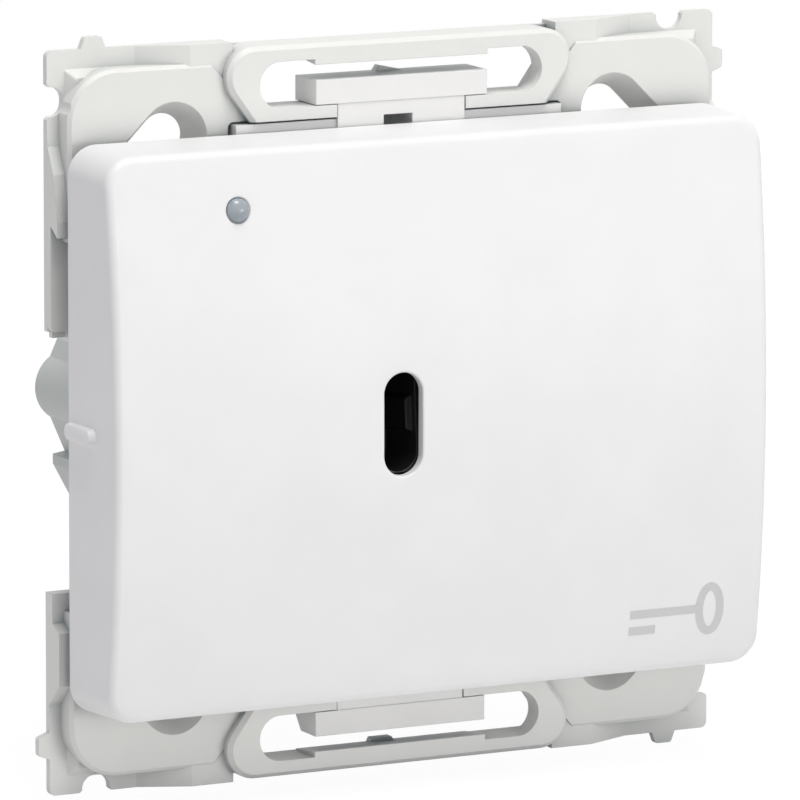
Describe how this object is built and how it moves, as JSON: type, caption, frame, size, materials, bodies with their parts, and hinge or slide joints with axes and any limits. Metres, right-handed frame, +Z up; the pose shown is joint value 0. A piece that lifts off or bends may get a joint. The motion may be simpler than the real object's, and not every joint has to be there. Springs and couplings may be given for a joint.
{
  "type": "two-way light switch",
  "caption": "Key-operated two-way switch insert in a square coupling wall frame, with a curved cover, key slot, indicator lamp and push-in terminals behind.",
  "frame": {"origin": "middle of the support frame's rear face, which lies on the wall", "axes": "-Y out of the wall, along the way the front looks; +X to the right seen from the front; +Z up"},
  "size_m": [0.0516, 0.0298, 0.0516],
  "materials": {
    "frame_plastic": "matte moulded thermoplastic, light grey-white",
    "cover_plastic": "satin moulded thermoplastic, pale grey-white",
    "clear_plastic": "clear polished polycarbonate",
    "board_laminate": "green solder-resist laminate",
    "lamp_body": "cream resin with a clear window",
    "resistor_coat": "lacquered ceramic",
    "diode_body": "black moulded resin",
    "lead_brown": "insulated copper wire",
    "lead_blue": "insulated copper wire",
    "insert_plastic": "satin white thermoplastic",
    "black_plastic": "black glass-filled nylon",
    "plunger_plastic": "natural acetal",
    "spring_steel": "drawn spring wire",
    "contact_brass": "stamped brass",
    "contact_silver": "silver alloy",
    "housing_plastic": "matte light grey thermoset",
    "rear_plastic": "matte grey thermoplastic",
    "lever_plastic": "satin white thermoplastic"
  },
  "bodies": {
    "root": {"support_frame": "frame_plastic", "front_cover": "cover_plastic", "lamp_light_pipe": "clear_plastic", "lamp_board": "board_laminate", "lamp_led": "lamp_body", "lamp_resistor": "resistor_coat", "lamp_diode": "diode_body", "lamp_lead_switched": "lead_brown", "lamp_lead_neutral": "lead_blue", "insert_body": "insert_plastic", "fixed_tip_upper": "contact_silver", "fixed_tip_lower": "contact_silver", "common_terminal": "contact_brass", "way_terminal_upper": "contact_brass", "way_terminal_lower": "contact_brass", "neutral_terminal": "contact_brass", "contact_housing": "housing_plastic", "rear_cover": "rear_plastic", "clamp_springs_upper_left": "spring_steel", "clamp_springs_lower_left": "spring_steel", "clamp_springs_upper_right": "spring_steel", "clamp_springs_lower_right": "spring_steel"},
    "rocker": {"rocker": "black_plastic", "key_receiver": "black_plastic", "plunger_spring": "spring_steel"},
    "plunger": {"plunger": "plunger_plastic"},
    "seesaw": {"seesaw_contact": "contact_brass", "moving_tips": "contact_silver"},
    "release_upper_left": {"release_lever_upper_left": "lever_plastic"},
    "release_lower_left": {"release_lever_lower_left": "lever_plastic"},
    "release_upper_right": {"release_lever_upper_right": "lever_plastic"},
    "release_lower_right": {"release_lever_lower_right": "lever_plastic"}
  },
  "joints": [
    {"name": "key_rocker", "type": "hinge", "parent": "root", "child": "rocker", "pos_m": [-0.00335, -0.0046, 0], "axis": [1, 0, 0], "range_deg": [0, 10]},
    {"name": "plunger_slide", "type": "slide", "parent": "rocker", "child": "plunger", "axis": [0, 0.9962, -0.0872], "range_m": [-0.0006, 0], "stiffness_N_per_m": 150, "springref_m": 0.002, "deforming": ["plunger_spring"]},
    {"name": "seesaw_tilt", "type": "hinge", "parent": "root", "child": "seesaw", "pos_m": [-0.00335, 0.00432, 0], "axis": [1, 0, 0], "range_deg": [-16, 0]},
    {"name": "release_press_upper_left", "type": "slide", "parent": "root", "child": "release_upper_left", "axis": [0, -1, 0], "range_m": [0, 0.001], "stiffness_N_per_m": 500, "springref_m": -0.002, "deforming": ["clamp_springs_upper_left"]},
    {"name": "release_press_lower_left", "type": "slide", "parent": "root", "child": "release_lower_left", "axis": [0, -1, 0], "range_m": [0, 0.001], "stiffness_N_per_m": 500, "springref_m": -0.002, "deforming": ["clamp_springs_lower_left"]},
    {"name": "release_press_upper_right", "type": "slide", "parent": "root", "child": "release_upper_right", "axis": [0, -1, 0], "range_m": [0, 0.001], "stiffness_N_per_m": 500, "springref_m": -0.002, "deforming": ["clamp_springs_upper_right"]},
    {"name": "release_press_lower_right", "type": "slide", "parent": "root", "child": "release_lower_right", "axis": [0, -1, 0], "range_m": [0, 0.001], "stiffness_N_per_m": 500, "springref_m": -0.002, "deforming": ["clamp_springs_lower_right"]}
  ],
  "couplings": [
    {"joint": "seesaw_tilt", "follows": "key_rocker", "ratio": -1.6}
  ]
}
